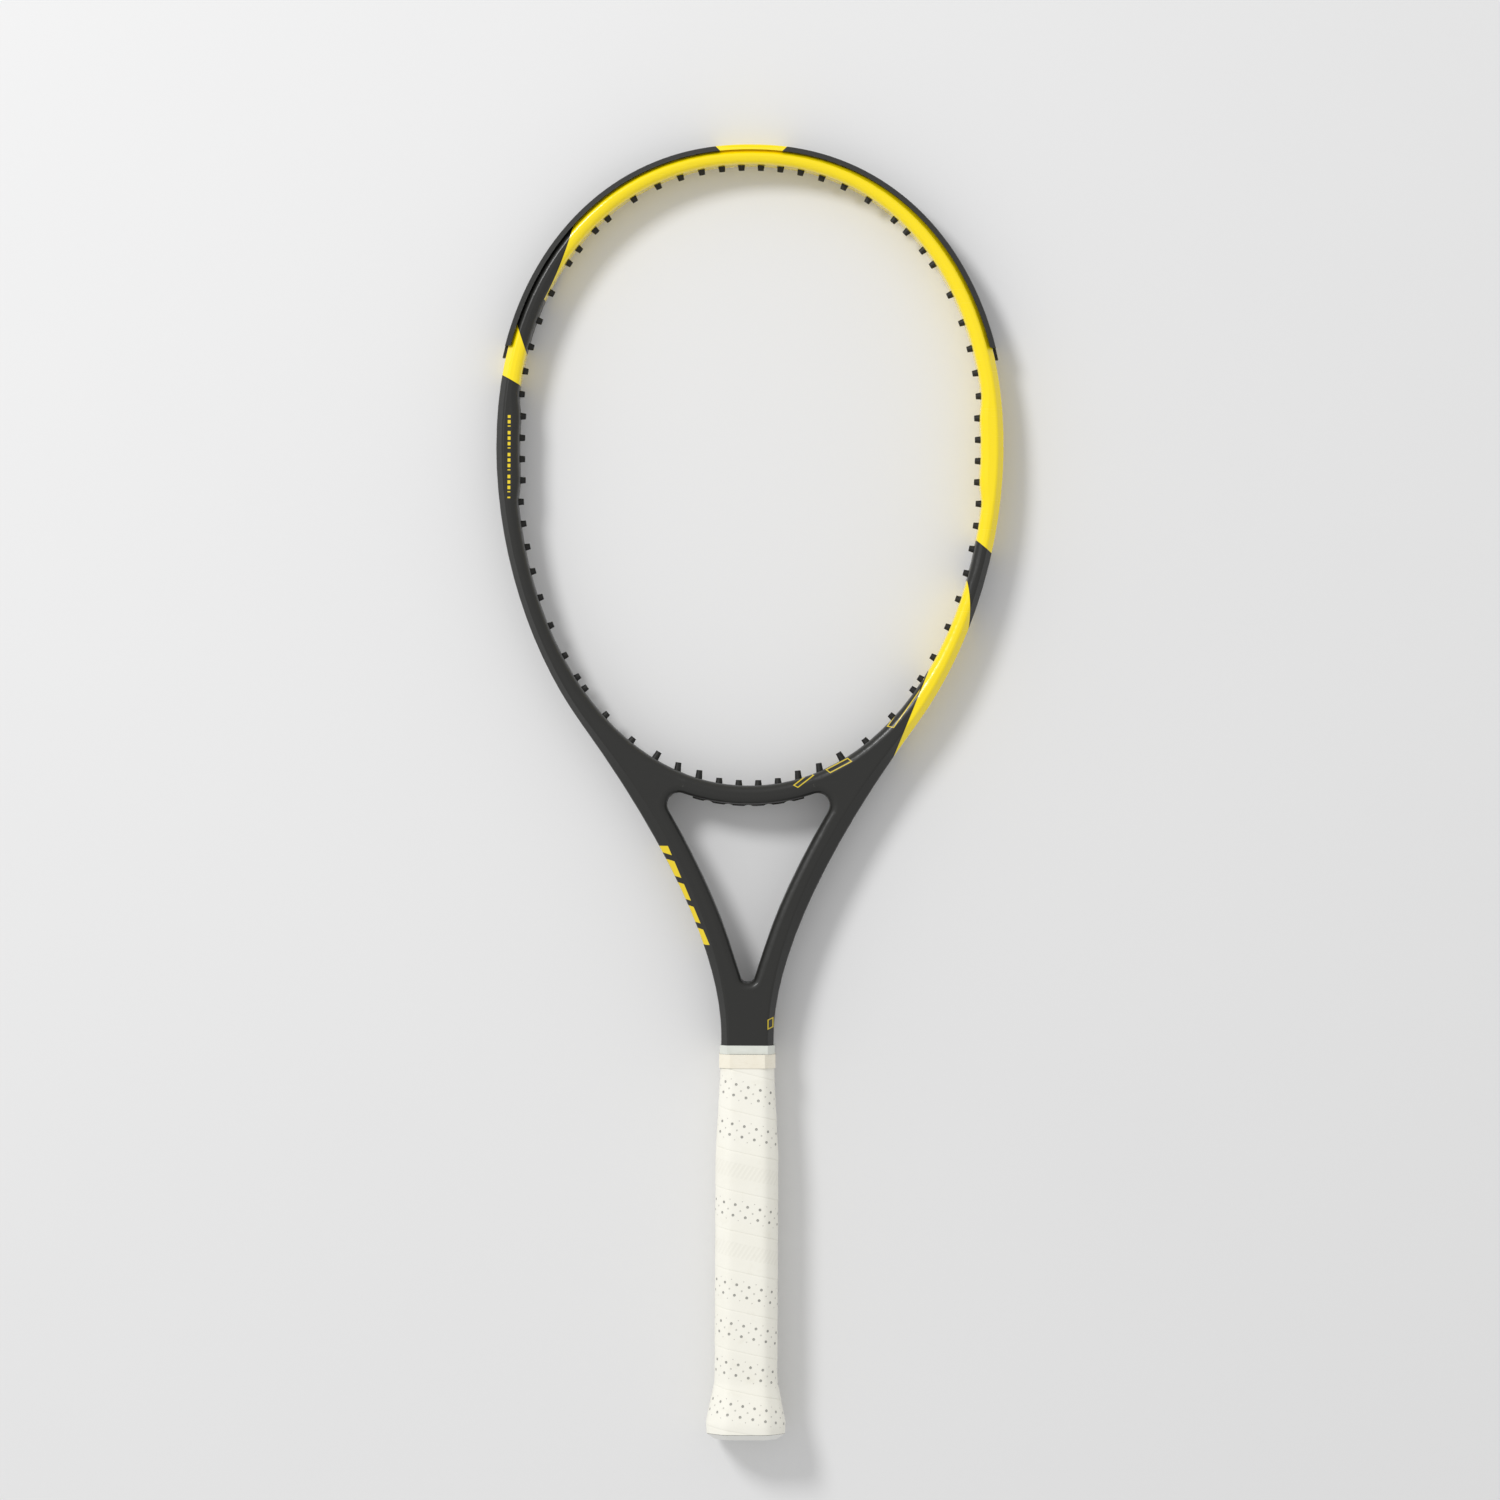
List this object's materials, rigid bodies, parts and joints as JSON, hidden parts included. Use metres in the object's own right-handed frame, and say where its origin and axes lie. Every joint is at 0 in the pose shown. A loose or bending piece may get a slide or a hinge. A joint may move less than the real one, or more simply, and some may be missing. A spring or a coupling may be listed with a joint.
{
  "type": "tennis racket",
  "caption": "Unstrung full-size racket: hollow oval hoop on two shafts with an open throat, pierced grommet strips, bumper guard and a wrapped octagonal handle.",
  "frame": {"origin": "middle of the butt's end face, on the racket's long axis and in the string plane", "axes": "+Y up the racket to the tip of the head, +Z out of the front of the string plane, +X to the right seen from the front"},
  "size_m": [0.2692, 0.6864, 0.039],
  "materials": {
    "frame_paint": "satin charcoal and gloss yellow paint over graphite",
    "grommet_plastic": "matt nylon",
    "pallet_foam": "moulded foam",
    "cap_plastic": "glossy white",
    "grip_cushion": "perforated creamy white synthetic",
    "tape": "creamy adhesive tape",
    "collar_plastic": "pale translucent",
    "steel_wire": "bright"
  },
  "bodies": {
    "racket": {"frame_tube": "frame_paint", "throat_bridge": "frame_paint", "bumper_guard": "grommet_plastic", "grommet_strip_left": "grommet_plastic", "grommet_strip_right": "grommet_plastic", "grommet_strip_throat": "grommet_plastic", "handle_pallet": "pallet_foam", "butt_cap": "cap_plastic", "butt_cap_staples": "steel_wire", "base_grip": "grip_cushion", "grip_start_tack": "steel_wire", "finishing_tape": "tape", "grip_collar": "collar_plastic"},
    "door": {"butt_cap_door": "cap_plastic"}
  },
  "joints": [
    {"name": "door_pull", "type": "slide", "parent": "racket", "child": "door", "axis": [0, -1, 0], "range_m": [0, 0.012]}
  ]
}
